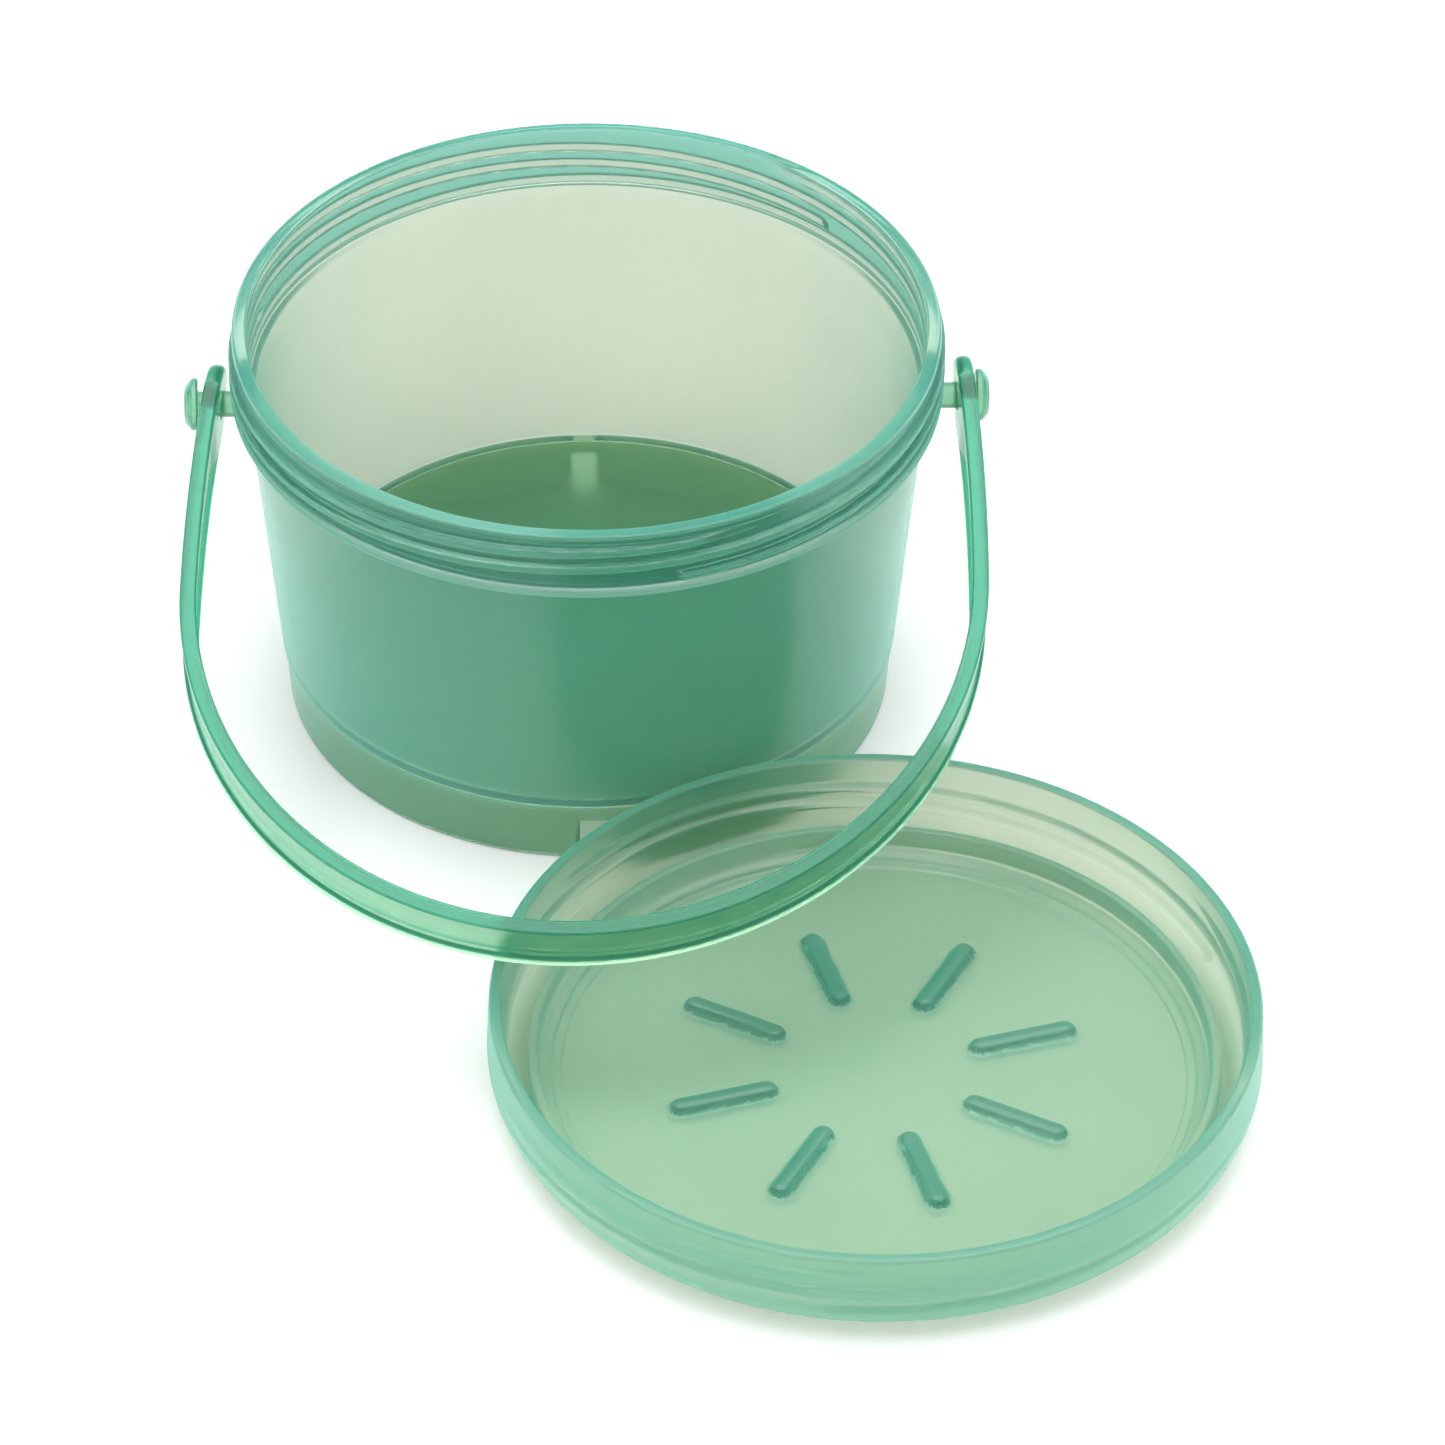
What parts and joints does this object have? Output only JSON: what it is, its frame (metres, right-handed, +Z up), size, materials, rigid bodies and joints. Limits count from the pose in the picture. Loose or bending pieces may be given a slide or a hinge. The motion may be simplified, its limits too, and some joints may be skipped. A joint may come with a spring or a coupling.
{
  "type": "screw-top jar with bail handle",
  "caption": "Round translucent plastic screw-top jar with a swinging bail handle on side pins, its threaded lid lying open side up beside it.",
  "frame": {"origin": "middle of the part's footprint, on the surface that the jar and the lid stand on", "axes": "+Z up, out of the jar's mouth; the handle's pins lie along X; the lid lies on the -Y side, shifted towards +X"},
  "size_m": [0.1632, 0.2153, 0.0685],
  "materials": {
    "jar_plastic": "translucent sea-green moulded plastic, satin gloss",
    "handle_plastic": "translucent sea-green moulded plastic, satin gloss",
    "lid_plastic": "translucent sea-green moulded plastic, satin gloss"
  },
  "bodies": {
    "jar": {"jar_body": "jar_plastic"},
    "handle": {"bail_handle": "handle_plastic"},
    "lid": {"screw_lid": "lid_plastic"}
  },
  "joints": [
    {"name": "handle_swing", "type": "hinge", "parent": "jar", "child": "handle", "pos_m": [-0.0183, 0.05155, 0.0535], "axis": [-1, 0, 0], "range_deg": [0, 225]},
    {"name": "lid_draw", "type": "slide", "parent": "jar", "child": "lid", "axis": [0, -1, 0], "range_m": [0, 0.07]}
  ]
}
